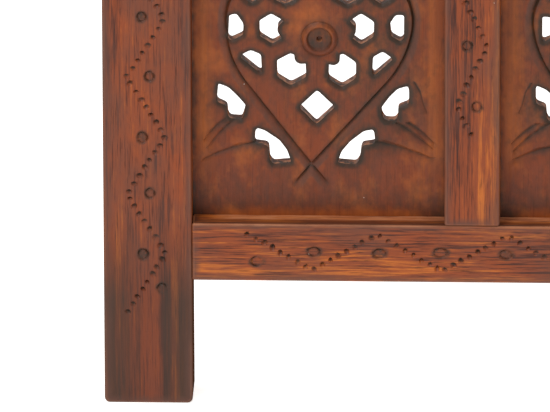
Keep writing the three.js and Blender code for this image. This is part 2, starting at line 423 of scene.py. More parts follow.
def resampled(points, step, closed=True):
    """The same line with a point every step."""
    ends = points + points[:1] if closed else points
    result = []
    for p, q in zip(ends, ends[1:]):
        parts = max(1, round((q - p).length / step))
        result += [p.lerp(q, i / parts) for i in range(parts)]
    return result if closed else result + [ends[-1]]


def six_sided(u, w, width, tall):
    """A hole like a honeycomb cell, standing on its point."""
    a, b = width / 2, tall / 2
    corners = [(0, -b), (a, -b / 2), (a, b / 2), (0, b), (-a, b / 2), (-a, -b / 2)]
    return [Vector((u + x, w + y)) for x, y in corners]


def four_sided(u, w, width, tall):
    """A hole standing on its point."""
    a, b = width / 2, tall / 2
    return [Vector((u + x, w + y)) for x, y in [(0, -b), (a, 0), (0, b), (-a, 0)]]


# Outlines of the lower and the upper spandrel hole, in parts of their width and height from the inner foot.
STEPPED = [
    (0.0, 0.02), (0.5, 0.0), (0.61, 0.12), (0.63, 0.45), (0.7, 0.52), (1.0, 0.57),
    (1.0, 0.92), (0.94, 1.0), (0.71, 0.94), (0.34, 0.67), (0.13, 0.37),
]
BENT = [
    (0.05, 0.14), (0.15, 0.0), (0.52, 0.0), (0.6, 0.1), (0.63, 0.37), (1.0, 0.5),
    (1.0, 0.9), (0.94, 1.0), (0.61, 0.9), (0.3, 0.66), (0.0, 0.38),
]
# Outlines of the small holes that the medallion's flanks cut short, in millimetres from their middles.
FLANK_HOLE = [(-5.6, -6.0), (-4.2, -6.4), (5.9, 1.6), (5.2, 3.6), (0.2, 6.6), (-5.2, 3.6)]
RIM_HOLE = [(4.1, -6.6), (2.4, -7.6), (-3.4, -4.6), (-4.0, 2.2), (-0.6, 7.2), (4.1, 7.0)]


def shaped(outline, u, w, side, up=1, width=1.0, tall=1.0):
    """An outline put in its place, flipped for the side and the half it is on."""
    points = [Vector(((u + side * a * width) * MM, (w + up * b * tall) * MM)) for a, b in outline]
    return points if side * up > 0 else points[::-1]


def bitten(outline, bite, radius):
    """An outline with a round bite: what lies in the bite is drawn back towards the hole's middle."""
    middle = sum(outline, Vector((0, 0))) / len(outline)
    result = []
    for p in outline:
        if (p - bite).length < radius:
            ray = (p - middle).normalized()
            gap = middle - bite
            b = ray.dot(gap)
            root = b * b - (gap.length_squared - radius * radius)
            p = middle + ray * (-b - math.sqrt(root)) if root > 0 else p
        result.append(p)
    return result


def segments_of(points, closed):
    """A line's segments as an array, each with its two ends."""
    ends = points + points[:1] if closed else points
    return np.array([(p.x, p.y, q.x, q.y) for p, q in zip(ends, ends[1:])])


def nearest(places, segments):
    """For each place, its distance to the line, the side of the line it is on, and how far along it is."""
    a, d = segments[:, :2], segments[:, 2:] - segments[:, :2]
    size = np.maximum((d * d).sum(1), 1e-18)
    offset = places[:, None, :] - a[None]
    t = np.clip((offset * d[None]).sum(2) / size, 0, 1)
    gap = offset - t[..., None] * d[None]
    distance = np.sqrt((gap * gap).sum(2))
    best = distance.argmin(1)
    rows = np.arange(len(places))
    cross = d[best, 0] * offset[rows, best, 1] - d[best, 1] * offset[rows, best, 0]
    lengths = np.sqrt(size)
    along = (np.cumsum(lengths) - lengths)[best] + t[rows, best] * lengths[best]
    return distance[rows, best], np.where(cross < 0, -1.0, 1.0), along, lengths.sum()


def inside(places, outline):
    """Which places lie inside a closed outline."""
    s = segments_of(outline, True)
    x, y = places[:, 0][:, None], places[:, 1][:, None]
    crosses = (s[:, 1] > y) != (s[:, 3] > y)
    rise = np.where(s[:, 3] == s[:, 1], 1.0, s[:, 3] - s[:, 1])
    at = (s[:, 2] - s[:, 0]) * (y - s[:, 1]) / rise + s[:, 0]
    return (crosses & (x < at)).sum(1) % 2 == 1


def medallion_side(side, drift, tall, sizes):
    """One outline of the medallion, from its lower tail past both crossings to its upper tail."""
    slope = math.radians(51)
    rise = sizes.widest - sizes.crossing
    flank = (rise * math.cos(slope) - sizes.half_width * math.sin(slope)) / (1 - math.sin(slope))
    head = tall - sizes.crossing
    inner = sizes.half_width - sizes.shoulder
    reach = math.hypot(inner, head - sizes.widest)
    turn = math.atan2(head - sizes.widest, -inner) - math.acos(sizes.shoulder / reach)
    points = [Vector((-sizes.tail * math.cos(slope), sizes.crossing - sizes.tail * math.sin(slope)))]
    for centre, radius, start, end in [
        (sizes.half_width - flank, flank, slope - math.pi / 2, 0.0),
        (inner, sizes.shoulder, 0.0, turn),
    ]:
        for i in range(13):
            angle = start + (end - start) * i / 12
            x, y = centre + radius * math.cos(angle), sizes.widest + radius * math.sin(angle)
            points.append(Vector((x, y)))
    down = turn + math.pi / 2
    past = Vector((0, head)) + Vector((math.cos(down), math.sin(down))) * sizes.tail
    points.append(past)
    apart = [p for i, p in enumerate(points) if i == 0 or (p - points[i - 1]).length > 1e-6]
    points = resampled(apart, 2.4 * MM, closed=False)
    drifts = [drift * min(1, max(0, 1 - (p.y - sizes.crossing) / (80 * MM))) for p in points]
    return [Vector((side * p.x + d, p.y)) for p, d in zip(points, drifts)]


def beside(points, offset):
    """The line drawn beside an open line, offset to its left or, below zero, to its right."""
    result = []
    for i, p in enumerate(points):
        heading = (points[min(i + 1, len(points) - 1)] - points[max(i - 1, 0)]).normalized()
        result.append(p + Vector((-heading.y, heading.x)) * offset)
    return result


# Six-sided holes of the pierced field: how far to each side, how high, how wide, how tall, in millimetres.
FIELD_HOLES = [
    (13.55, 84.3, 15.4, 19.4),
    (24.0, 108.2, 13.4, 17.6),
    (16.8, 131.0, 15.0, 18.6),
    (35.4, 130.5, 11.5, 16.0),
]
END_HOLE = (62.6, 19.2, 19.4)
# Spandrel holes: inner edge, foot, width, height, how far the hand moved the pair sideways, and outline.
SPANDRELS = [(12.3, 29.6, 20.2, 20.0, 2.4, STEPPED), (36.6, 55.4, 15.1, 20.4, 3.2, BENT)]
# Petals of the flower bite into the holes round it: angle in degrees, distance and radius of the petal's end.
PETALS = [(19, 15.6, 5.0), (164, 18.6, 4.8), (228, 14.6, 3.8), (303, 13.6, 3.8)]
# Leaf veins: from and to, each as millimetres to the side and up, and the half width at the start.
VEINS = [((44, 54), (61, 38.5), 2.6), ((50.5, 53.5), (62.5, 43), 1.9), ((33, 42.5), (61.5, 32.8), 3.0)]
FOLD = [(53.5, 77.6), (56.5, 72.6), (58.5, 64.7), (60.2, 60.5)]
# The boss: distance from its middle and depth, both in millimetres, then distance and how dark it is stained.
BOSS_DEPTH = [
    (0.0, 3.0), (1.0, 2.9), (1.7, 0.5), (2.1, 0.2), (4.1, 0.4), (6.0, 0.6), (6.5, 0.1),
    (7.1, -0.7), (7.8, -0.95), (8.6, -0.65), (9.2, 0.1), (9.9, 0.55), (10.8, 0.0),
]
BOSS_STAIN = [
    (0.0, 0.9), (0.8, 0.5), (1.2, 0.1), (1.7, 0.3), (2.2, 0.8), (5.6, 0.7), (6.5, 0.62),
    (7.2, 0.3), (8.8, 0.28), (9.8, 0.55), (11.2, 0.3), (13.5, 0.15),
]
BOSS_STAINED = 13  # how far that stain reaches
# The medallion's groove: millimetres outwards from its bottom, and how deep, dark and greyed it is there.
GROOVE_DEPTH = [(-1.1, 0), (0.0, 1), (3.4, 0)]
# The dark is stain with painted shade on the groove's inner wall.
GROOVE_STAIN_AND_SHADE = [(-2.6, 0), (-1.1, 0.5), (0.0, 0.8), (0.8, 0.6), (1.4, 0.14), (3.4, 0.1), (4.8, 0)]
# The grey is a painted highlight on the groove's outer wall, which faces the light.
GROOVE_GREY = [(0.6, 0), (1.4, 0.88), (3.4, 0.88), (4.8, 0)]
# Lines that the mesh follows along it, in millimetres inwards.
GROOVE_LINES = (2.6, 1.1, 0.0, -1.4, -3.4, -4.8)


def panel_holes(tall, lean, sizes, rng):
    """The through outlines of one panel, in metres from the foot of its opening and its upright middle."""
    holes = []
    flower = Vector((0, sizes.flower))
    petals = [(flower + turned((reach * MM, 0), math.radians(a)), r * MM) for a, reach, r in PETALS]
    if lean < 0:
        petals = [(Vector((-p.x, p.y)), r) for p, r in petals]

    def slip():
        return rng.uniform(-0.45, 0.45)

    for (across, up, wide, high), side in itertools.product(FIELD_HOLES, (-1, 1)):
        u, w = (side * across - 1.4 * lean + slip()) * MM, (up + slip()) * MM
        outline = hand_cut(six_sided(u, w, wide * MM, high * MM), rng)
        for bite, radius in petals:
            outline = bitten(outline, bite, radius)
        holes.append(outline)
    for side in (-1, 1):
        flank = shaped(FLANK_HOLE, side * 35.2 - 1.4 * lean + slip(), 88.6 + slip(), side)
        rim = shaped(RIM_HOLE, side * 43.1 - 1.6 * lean + slip(), 108.8 + slip(), side)
        holes += [hand_cut(flank, rng), hand_cut(rim, rng)]
    up, wide, high = END_HOLE
    for w in (up * MM, tall - (up - 4) * MM):
        holes.append(hand_cut(four_sided(-1.4 * lean * MM, w, wide * MM, high * MM), rng))
    for (across, up, wide, high, hand, outline), side, way in itertools.product(SPANDRELS, (-1, 1), (1, -1)):
        w = up if way > 0 else tall / MM - up
        u = side * across - hand * lean * (way > 0) + slip()
        holes.append(hand_cut(shaped(outline, u, w + slip(), side, way, wide, high), rng))
    return holes


def widened(outline, by):
    """The outline pushed out from its middle and smoothed, as a knife bevel rounds it."""
    middle = sum(outline, Vector((0, 0))) / len(outline)
    points = [p + (p - middle).normalized() * by for p in outline]
    for _ in range(3):
        points = [(points[i - 1] + 2 * p + points[(i + 1) % len(points)]) / 4 for i, p in enumerate(points)]
    return points


def between(value, low, high):
    """0 at low, 1 at high, and straight between them."""
    return np.clip((value - low) / (high - low), 0, 1)


def profile(value, points):
    """What a profile's points say at a value, straight between them."""
    return np.interp(value, *zip(*points))


def fading(distance, reach):
    """1 at no distance, and 0 from the reach on."""
    return np.clip(1 - distance / reach, 0, 1)


def carved_panel(node, lean, rng):
    """The mesh of one pierced panel. lean is 1 where the carver's hand drifted left, -1 where right."""
    sizes = bpy.context.scene.screen_panels
    low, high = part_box(node)
    rails = [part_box(r) for r in RAILS]
    foot = max(hi.z for lo, hi in rails if hi.z < (low.z + high.z) / 2)
    tall = min(lo.z for lo, hi in rails if lo.z > (low.z + high.z) / 2) - foot
    front = high.y - PANEL_THICKNESS
    half = (high.x - low.x) / 2
    shift = 0.5 * MM * lean
    middle = (low.x + high.x) / 2 + shift
    corners = Vector((-half - shift, low.z - foot)), Vector((half - shift, high.z - foot))
    border = resampled(rectangle(*corners), 5 * MM)
    holes = panel_holes(tall, lean, sizes, rng)
    rims = [widened(h, sizes.bevel_width) for h in holes]
    halos = [resampled(widened(h, sizes.bevel_width + 0.5 * sizes.halo), 2.0 * MM) for h in holes]
    lines = [Line(border), *(Line(h) for h in holes), *(Line(r) for r in rims)]

    drift = -4.5 * MM * lean
    outlines = [medallion_side(side, drift, tall, sizes) for side in (1, -1)]
    for side, outline in zip((1, -1), outlines):
        for offset in GROOVE_LINES:
            lines.append(Line(beside(outline, side * offset * MM), closed=False))

    veins = []
    for ((u0, w0), (u1, w1), broad), side, way in itertools.product(VEINS, (-1, 1), (1, -1)):
        slip = [rng.uniform(-0.8, 0.8) * MM for _ in range(4)]
        start = Vector((side * u0 * MM + slip[0] - 2.2 * MM * lean, w0 * MM + slip[1]))
        end = Vector((side * u1 * MM + slip[2] - 0.5 * MM * lean, w1 * MM + slip[3]))
        if way < 0:
            start.y, end.y = tall - start.y, tall - end.y
        bow = Vector((0, 0.9 * MM * way))
        points = [start.lerp(end, t / 8) + bow * math.sin(math.pi * t / 8) for t in range(9)]
        veins.append((points, broad * MM * rng.uniform(0.85, 1.15)))
    for way in (1, -1):
        heights = [w * MM if way > 0 else tall - w * MM for _, w in FOLD]
        fold = [Vector((lean * u * MM - 2 * MM * lean, w)) for (u, _), w in zip(FOLD, heights)]
        veins.append((resampled(fold, 2.5 * MM, closed=False), 1.1 * MM))
    for points, broad in veins:
        lines.append(Line(points, closed=False))
        taper = [broad * (1 - 0.75 * i / (len(points) - 1)) for i in range(len(points))]
        edge = beside(points, 1.0)
        for hand in (-1, 1):
            lines.append(Line([p + (e - p) * t * hand for p, e, t in zip(points, edge, taper)], closed=False))

    flower = Vector((0, sizes.flower))
    for radius, _ in BOSS_DEPTH[1:]:
        count = 12 if radius < 3 else 32
        lines.append(Line(ellipse(flower, radius * MM, radius * MM, 0, count)))

    step = 4.0 * MM
    loose = [p for halo in halos for p in halo]
    columns, rows = range(1, int(2 * half / step)), range(1, int((high.z - low.z) / step))
    for i, j in itertools.product(columns, rows):
        loose.append(Vector((-half + i * step, low.z - foot + j * step)) + jog(rng, 0.3) * step)

    points, triangles, _ = triangulate(lines, [p for p in loose if abs(p.x + shift) < half - 1 * MM])
    places = np.array([(p.x, p.y) for p in points])
    centres = places[np.array(triangles)].mean(1)
    gone = np.zeros(len(triangles), bool)
    for hole in holes:
        gone |= inside(centres, hole)
    depth, stain_and_shade, rub_and_sheen, grey = carve_depths(places, tall, half, lean, holes, outlines, veins, sizes)

    bm = bmesh.new()
    stained_and_shaded, rubbed_and_lit, greyed = (bm.verts.layers.float.new(name) for name in ("stain_and_shade", "rub_and_sheen", "arris"))
    cut = bm.faces.layers.float.new("cut")
    verts = [bm.verts.new((middle + u, front + d, foot + w)) for (u, w), d in zip(places, depth)]
    for held, values in ((stained_and_shaded, stain_and_shade), (rubbed_and_lit, rub_and_sheen), (greyed, grey)):
        for vert, value in zip(verts, values):
            vert[held] = value
    for triangle, away in zip(triangles, gone):
        if not away:
            bm.faces.new([verts[i] for i in triangle])
    bmesh.ops.delete(bm, geom=[v for v in bm.verts if not v.link_faces], context="VERTS")
    fronts = set(bm.faces)
    made = bmesh.ops.extrude_face_region(bm, geom=list(bm.faces))
    for vert in made["geom"]:
        if isinstance(vert, bmesh.types.BMVert):
            vert.co.y = high.y
            vert[stained_and_shaded] *= 0.4
            vert[greyed] = 0.0
    for face in bm.faces:
        if face not in fronts and abs(face.normal.y) < 0.5:
            face[cut] = 1.0
    return bm


def carve_depths(places, tall, half, lean, holes, outlines, veins, sizes):
    """How deep each point of a panel's front is cut, how dark, how bright and how grey it is."""
    up, across = places[:, 1], places[:, 0]
    to_hole = nearest(places, np.vstack([segments_of(h, True) for h in holes]))[0]
    depth = sizes.bevel_depth * fading(to_hole, sizes.bevel_width)
    past = np.clip(to_hole - 0.6 * sizes.bevel_width, 0, None)
    stain_and_shade = np.maximum(0.95 * fading(past, sizes.halo), 0.46 * np.exp(-to_hole / (8 * MM)))
    grey = np.zeros(len(places))
    for side, outline in zip((1, -1), outlines):
        distance, hand, along, whole = nearest(places, segments_of(outline, False))
        off = distance * hand * side * -1 / MM
        ends = np.clip(np.minimum(along, whole - along) / (6 * MM), 0, 1)
        depth = np.maximum(depth, profile(off, GROOVE_DEPTH) * sizes.groove_depth * ends)
        grey = np.maximum(grey, profile(off, GROOVE_GREY) * ends)
        stain_and_shade = np.maximum(stain_and_shade, profile(off, GROOVE_STAIN_AND_SHADE) * (0.4 + 0.6 * ends))
    for line, broad in veins:
        distance, hand, along, whole = nearest(places, segments_of(line, False))
        gone = np.clip(along / whole, 0, 1)
        below = hand * (line[-1].x - line[0].x) < 0
        reach = broad * (1 - 0.75 * gone) * np.where(below, 1.5, 0.55)
        close = fading(distance, reach)
        depth = np.maximum(depth, close * (1 - 0.7 * gone) * 0.62 * broad)
        dark = fading(distance, 0.6 * broad * (1 - 0.6 * gone) + 0.7 * MM) * (0.75 - 0.35 * gone)
        stain_and_shade = np.maximum(stain_and_shade, dark)
        grey = np.maximum(grey, np.clip(2.5 * close, 0, 0.88) * (1 - 0.7 * gone))
    from_flower = np.hypot(across, up - sizes.flower) / MM
    depth = np.where(from_flower < BOSS_DEPTH[-1][0], profile(from_flower, BOSS_DEPTH) * MM, depth)
    # The boss's pit gets the full grey, and where its lower wall faces up, a painted highlight.
    grey = np.where(from_flower < 2, 1.0, grey)
    stain_and_shade = np.where(from_flower < BOSS_STAINED, profile(from_flower, BOSS_STAIN), stain_and_shade)
    sway = np.sin(across / (11 * MM) + 2 * lean) * np.cos(up / (17 * MM)) * 0.12 * MM
    inboard = np.clip((half - np.abs(across)) / (14 * MM), 0, 1)
    depth = depth + sway * np.clip(to_hole / (4 * MM), 0, 1) * inboard

    to_stile = half - PANEL_HIDDEN - np.abs(across)
    to_rail = np.minimum(up, tall - up)
    # Painted shade: a dark line where the panel meets the stile, for the shadow in that inner corner.
    stile_shade = 0.9 * fading(to_stile, 1.8 * MM)
    # Painted shade: the panel darkens towards its corners, where the frame shades it.
    to_corner = np.hypot(np.clip(to_stile, 0, None), np.clip(to_rail, 0, None))
    corner = 0.8 * fading(to_corner, 26 * MM)
    # Painted shade: a darker band along the rails, starting a little way off them.
    rail_shade = 0.4 * (1 - between(to_rail, 8 * MM, 34 * MM)) * between(to_rail, 1.5 * MM, 5 * MM)
    # The field is darker over its right half on left-hand panels and its left half on right-hand panels, away
    # from stiles and rails.
    darker_side = 0.32 * between(lean * across, -2 * MM, 26 * MM) * between(to_stile, 6 * MM, 16 * MM)
    darker_side = darker_side * between(to_rail, 18 * MM, 45 * MM)
    stain_and_shade = np.clip(np.maximum.reduce([stain_and_shade + 0.6 * darker_side, darker_side, stile_shade, corner, rail_shade]), 0, 1)
    margin = (1 - between(np.abs(to_stile - 6 * MM), 1 * MM, 7 * MM)) * between(to_rail, 18 * MM, 40 * MM)
    # Painted reflection: a pale strip along the panel just off each rail.
    glow = (1 - between(to_rail, 1 * MM, 4.5 * MM)) * between(to_stile, 6 * MM, 22 * MM)
    return depth, stain_and_shade, np.maximum(0.6 * margin, 0.55 * glow), grey


# -------- materials


def linear(hex_colour):
    """An sRGB hex colour as linear RGBA."""
    parts = [int(hex_colour[i : i + 2], 16) / 255 for i in (1, 3, 5)]
    return (*(p / 12.92 if p <= 0.04045 else ((p + 0.055) / 1.055) ** 2.4 for p in parts), 1.0)


def add(tree, kind, inputs=None, **settings):
    """Adds a node with its settings, its values and its links."""
    node = tree.nodes.new(kind)
    for name, value in settings.items():
        setattr(node, name, value)
    for socket, value in (inputs or {}).items():
        if isinstance(value, bpy.types.NodeSocket):
            tree.links.new(value, node.inputs[socket])
        else:
            node.inputs[socket].default_value = value
    return node


def ramp(tree, factor, stops):
    """A colour ramp. Each stop is a position and a linear colour."""
    node = add(tree, "ShaderNodeValToRGB", {"Fac": factor})
    while len(node.color_ramp.elements) < len(stops):
        node.color_ramp.elements.new(1.0)
    for element, (position, value) in zip(node.color_ramp.elements, stops):
        element.position = position
        element.color = value
    return node.outputs["Color"]


def spread(tree, value, low, high, to_low=0.0, to_high=1.0):
    """A value's range moved to another, and held inside it."""
    ranges = {"From Min": low, "From Max": high, "To Min": to_low, "To Max": to_high}
    return add(tree, "ShaderNodeMapRange", {"Value": value, **ranges}).outputs["Result"]


def calc(tree, operation, *values):
    """One step of arithmetic."""
    return add(tree, "ShaderNodeMath", dict(enumerate(values)), operation=operation).outputs[0]


def times(tree, first, second):
    return calc(tree, "MULTIPLY", first, second)


def plus(tree, first, second):
    return calc(tree, "ADD", first, second)


def part_of(tree, vector, axis):
    """One of a vector's three numbers."""
    return add(tree, "ShaderNodeSeparateXYZ", {0: vector}).outputs[axis]


def layer(tree, name):
    """What the mesh itself carries under this name."""
    return add(tree, "ShaderNodeAttribute", attribute_name=name).outputs["Fac"]


def blank_material(name):
    """A new material and its node tree, still empty."""
    material = bpy.data.materials.new(name)
    material.use_nodes = True
    material.node_tree.nodes.clear()
    return material, material.node_tree


def surface(tree, inputs):
    """Ends a node tree in its one shader."""
    shader = add(tree, "ShaderNodeBsdfPrincipled", inputs)
    add(tree, "ShaderNodeOutputMaterial", {"Surface": shader.outputs[0]})


def stained_hardwood(name, grain_along, seed, figure_mm, contrast, deepened=0.0, mirrored=False):
    """Open-grained hardwood under red-brown stain and wax, with dark cuts and rubbed edges."""
    colours = bpy.context.scene.screen_colours
    dark, middle, light = linear(colours.dark), linear(colours.middle), linear(colours.light)
    stain_and_shade, worn_and_lit, aged_and_lit = linear(colours.stain_and_shade), linear(colours.worn_and_lit), linear(colours.aged_and_lit)
    material, tree = blank_material(name)
    place = add(tree, "ShaderNodeTexCoord").outputs["Object"]

    def grain(width_mm, stretch, detail, offset, distortion=0.0):
        """Noise drawn out along the grain. Its streaks are about width_mm wide."""
        scale = [1.0, 1.0, 1.0]
        scale["XYZ".index(grain_along)] = 1.0 / stretch
        moves = [seed + offset] * 3
        if mirrored:
            scale[0] *= -1
            moves[0] += CAD_BOX[0][0] + CAD_BOX[1][0]
        moved = add(tree, "ShaderNodeMapping", {"Vector": place, "Location": moves, "Scale": scale})
        noise = {"Scale": 1000.0 / width_mm, "Detail": detail, "Roughness": 0.62, "Distortion": distortion}
        return add(tree, "ShaderNodeTexNoise", {"Vector": moved.outputs[0], **noise}).outputs["Fac"]

    figure = grain(figure_mm, 14, 4, 0.01, 0.4)
    streak = grain(4.0, 30, 5, 3.1, 0.2)
    fine = grain(1.1, 26, 4, 5.7)
    fleck = grain(2.2, 7, 5, 7.9, 0.3)
    pore = grain(0.8, 22, 3, 9.2)
    blot = grain(26, 1.6, 5, 12.9)
    lined = 0.62 * contrast
    streaks = plus(tree, times(tree, streak, 0.6), times(tree, fine, lined))
    joined = plus(tree, times(tree, figure, 1.1), streaks)
    joined = plus(tree, joined, times(tree, fleck, 0.3))
    centre = 1.0 + lined / 2
    brighter = 0.03 if grain_along == "X" else 0.0
    tone = spread(tree, joined, centre - brighter - 0.42 / contrast, centre - brighter + 0.42 / contrast)
    base = ramp(tree, tone, [(0.0, dark), (0.38, middle), (0.6, middle), (1.0, light)])
    # Each coat is laid over those before it: how much of it shows, and its colour.
    coats = [(spread(tree, blot, 0.42, 0.66, 0.0, 0.55), aged_and_lit)]
    coats.append((spread(tree, pore, 0.55, 0.68, 0.0, 0.48 * contrast), dark))
    if deepened:
        warm = spread(tree, grain(20, 1.3, 4, 15.2), 0.5, 0.68, 0.0, 0.36)
        coats += [(deepened, linear(colours.deep)), (warm, light)]
    # Paler margins where the stain is rubbed thin, and the painted reflection along the rails.
    coats.append((times(tree, layer(tree, "rub_and_sheen"), spread(tree, streak, 0.3, 0.6, 0.25, 0.75)), light))
    if grain_along == "X":
        coats += ledge_light_and_shade(tree, place, fleck, colours)
    if name.endswith("upright"):
        coats += shaded_feet(tree, place, streak, colours)
    arris = layer(tree, "arris")
    uneven = spread(tree, grain(9, 3, 3, 17.3), 0.35, 0.6, 0.35, 1.0)
    # Aged grey along the arrises from handling; on the panels it greys the veins and is a painted highlight
    # on the groove's outer wall.
    coats.append((times(tree, spread(tree, arris, 0.1, 0.9, 0.0, 0.8), uneven), aged_and_lit))
    # Worn tan on the arrises, stronger where they face up: wear, with a painted highlight where light from
    # above falls on them.
    normal = add(tree, "ShaderNodeNewGeometry").outputs["Normal"]
    rubbed_and_lit = plus(tree, spread(tree, part_of(tree, normal, "Z"), 0.15, 0.5, 0.0, 0.5), 0.08)
    coats.append((times(tree, spread(tree, arris, 0.93, 1.0), times(tree, rubbed_and_lit, uneven)), worn_and_lit))
    # Stain in cuts and round holes, together with the painted shade carried in the same layer.
    soft = spread(tree, grain(3.5, 1.5, 4, 21.4), 0.3, 0.7, -0.22, 0.22)
    coats.append((spread(tree, plus(tree, layer(tree, "stain_and_shade"), soft), 0.1, 0.95, 0.0, 0.9), stain_and_shade))
    # The walls of the holes: tan where the stain is thin, painted paler to stand for their lit faces.
    bare_and_lit = spread(tree, grain(5, 1.2, 3, 25.0), 0.47, 0.6, 0.0, 0.72)
    coats.append((times(tree, layer(tree, "cut"), bare_and_lit), worn_and_lit))
    # Specks of pale dust caught in the wax, under half a millimetre across.
    speck = add(tree, "ShaderNodeTexVoronoi", {"Vector": place, "Scale": 170.0}, distance="EUCLIDEAN")
    drawn = add(tree, "ShaderNodeSeparateColor", {0: speck.outputs["Color"]}).outputs[0]
    chosen = spread(tree, drawn, 0.935, 0.94)
    dust = times(tree, spread(tree, speck.outputs["Distance"], 0.05, 0.035, 0.0, 0.8), chosen)
    for cover, coat in [*coats, (dust, linear(colours.dust))]:
        mix = add(tree, "ShaderNodeMix", {0: cover, 6: base, 7: coat}, data_type="RGBA")
        base = mix.outputs[2]

    rough = spread(tree, fine, 0.3, 0.7, 0.38, 0.6)
    height = plus(tree, fine, times(tree, pore, -0.8))
    # Grain that stands about a tenth of a millimetre proud, as open-pored wood does under thin wax.
    bump = add(tree, "ShaderNodeBump", {"Strength": 0.4, "Distance": 0.18 * MM, "Height": height})
    # The sides of the boards were left unwaxed.
    sideways = part_of(tree, normal, "X")
    wax = spread(tree, times(tree, sideways, sideways), 0.3, 0.8, 0.25, 0.0)
    gloss = {"Roughness": rough, "IOR": 1.5, "Specular IOR Level": wax}
    surface(tree, {"Base Color": base, "Normal": bump.outputs[0], **gloss})
    return material


def ledge_light_and_shade(tree, place, fleck, colours):
    """The ledge on top of a rail: painted shade along its front, and a painted highlight in patches along its
    back, where it meets the panel.
    """
    normal = add(tree, "ShaderNodeNewGeometry").outputs["Normal"]
    upward = spread(tree, part_of(tree, normal, "Z"), 0.7, 0.9)
    across, back_to_front, height = (part_of(tree, place, axis) for axis in "XYZ")
    # Painted shade along the front of the ledge.
    front = times(tree, upward, spread(tree, back_to_front, -5.0 * MM, -8.0 * MM, 0.0, 0.4))
    # Painted highlight along the back of the ledge, where it meets the panel.
    back = times(tree, upward, spread(tree, back_to_front, -7.5 * MM, -5.0 * MM))
    # The ledge stops short of the stile and of the panel's far side, and the leaf's own top has none.
    inboard = spread(tree, across, 58 * MM, 70 * MM)
    inboard = times(tree, inboard, spread(tree, back_to_front, 2 * MM, 0.0))
    top = CAD_BOX[1][2]
    inboard = times(tree, inboard, spread(tree, height, top - 4 * MM, top - 8 * MM))
    patchy = times(tree, inboard, spread(tree, fleck, 0.4, 0.6, 0.3, 0.8))
    return [(times(tree, back, patchy), linear(colours.worn_and_lit)), (front, linear(colours.stain_and_shade))]


def shaded_feet(tree, place, streak, colours):
    """Painted shade on the feet: they darken towards the floor, most along both edges of the board."""
    left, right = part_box("left_stile")
    middle, foot = (CAD_BOX[0][0] + CAD_BOX[1][0]) / 2, CAD_BOX[0][2]
    from_middle = calc(tree, "ABSOLUTE", plus(tree, part_of(tree, place, "X"), -middle))
    off_centre = plus(tree, from_middle, (left.x + right.x) / 2 - middle)
    edgeward = calc(tree, "ABSOLUTE", off_centre)
    edge_shade = spread(tree, plus(tree, edgeward, times(tree, streak, -30 * MM)), -13 * MM, 2 * MM, 0.2, 0.8)
    # Painted shade over the lowest part of the stiles, towards the floor.
    low = spread(tree, part_of(tree, place, "Z"), foot + 112 * MM, foot + 60 * MM)
    return [(times(tree, low, 0.42), linear(colours.foot)), (times(tree, low, edge_shade), linear(colours.stain_and_shade))]


def floor_paint():
    """Plain matt paint, a little luminous so that the ground stays pale behind the leaf."""
    material, tree = blank_material("matt_floor_paint")
    pale = linear(bpy.context.scene.screen_colours.floor)
    glow = {"Emission Color": pale, "Emission Strength": 0.72}
    surface(tree, {"Base Color": pale, "Roughness": 0.9, **glow})
    return material


def wood_of(name, grain_along, **looks):
    """The named wood, made once."""
    return bpy.data.materials.get(name) or stained_hardwood(name, grain_along, **looks)


# -------- operators


class SCREEN_OT_stage(bpy.types.Operator):
    """Lay the floor, set the studio light and place the camera"""

    bl_idname = "screen.stage"
    bl_label = "Stage"

    def execute(self, context):
        stage = context.scene.screen_stage
        low, high = (Vector(c) for c in CAD_BOX)
        bm = bmesh.new()
        bmesh.ops.create_grid(bm, x_segments=1, y_segments=1, size=12.0)
        bmesh.ops.translate(bm, vec=(0.2, 0, low.z), verts=bm.verts)
        object_of("floor", bm, floor_paint())

        world = bpy.data.worlds.new("studio")
        world.use_nodes = True
        sky = world.node_tree.nodes["Background"].inputs
        sky["Color"].default_value = (1.0, 1.0, 1.0, 1.0)
        sky["Strength"].default_value = 0.6
        context.scene.world = world
        context.scene.view_settings.view_transform = "Standard"

        middle = (low + high) / 2
        for name, place, size, watts in [
            ("key_light", (-1.3, -1.7, 1.5), 1.0, 38.0),
            ("top_light", (0.3, -0.5, 2.4), 1.6, 22.0),
        ]:
            data = bpy.data.lights.new(name, "AREA")
            data.size = size
            data.energy = watts
            lamp = bpy.data.objects.new(name, data)
            lamp.location = middle + Vector(place)
            lamp.rotation_euler = (middle - lamp.location).to_track_quat("-Z", "Y").to_euler()
            context.scene.collection.objects.link(lamp)

        camera = bpy.data.cameras.new("camera")
        camera.lens = stage.lens
        camera.clip_end = 100.0
        target = Vector((low.x + stage.aim_across, low.y, low.z + stage.aim_up))
        away = stage.view_width * stage.lens / camera.sensor_width
        level = math.cos(stage.elevation)
        across, out = math.sin(stage.azimuth) * level, -math.cos(stage.azimuth) * level
        back = Vector((across, out, math.sin(stage.elevation)))
        eye = bpy.data.objects.new("camera", camera)
        eye.location = target + back * away
        upright = (-back).to_track_quat("-Z", "Y")
        eye.rotation_euler = (upright @ Quaternion((0, 0, 1), -stage.roll)).to_euler()
        context.scene.collection.objects.link(eye)
        context.scene.camera = eye
        return {"FINISHED"}


